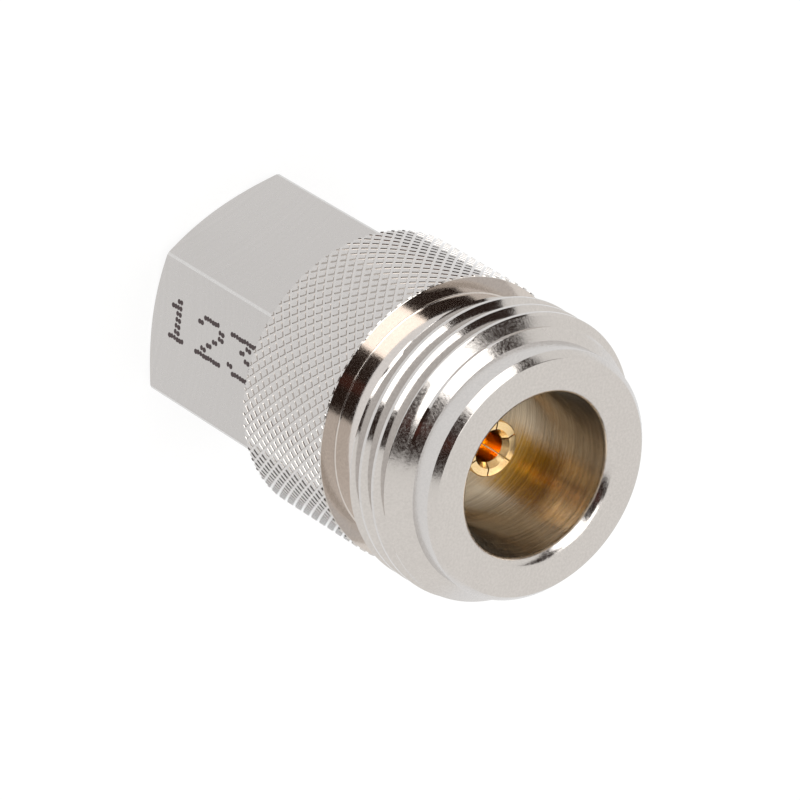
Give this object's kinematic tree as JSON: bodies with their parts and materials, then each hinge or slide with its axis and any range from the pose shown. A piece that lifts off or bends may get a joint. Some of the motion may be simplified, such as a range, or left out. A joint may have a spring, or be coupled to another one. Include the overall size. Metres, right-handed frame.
{
  "type": "coaxial terminator",
  "caption": "Screw-thread coaxial jack closed by a built-in 50 ohm load, with a knurled band and a hexagon end for a spanner.",
  "frame": {"origin": "centre of the rear face, on the surface the part stands on", "axes": "+Z along the axis out of the mouth, -Y out of the marked flat of the hexagon"},
  "size_m": [0.0158, 0.0158, 0.025],
  "materials": {
    "nickel_plate": "satin nickel plate, bright where turned",
    "gold_plate": "bright gold plate",
    "white_fluoropolymer": "waxy white",
    "coated_ceramic": "smooth coat",
    "tinned_cap": "dull tin"
  },
  "bodies": {
    "root": {"body": "nickel_plate", "centre_contact": "gold_plate", "insulator": "white_fluoropolymer", "resistor": "coated_ceramic", "front_cap": "tinned_cap", "rear_cap": "tinned_cap"}
  },
  "joints": []
}
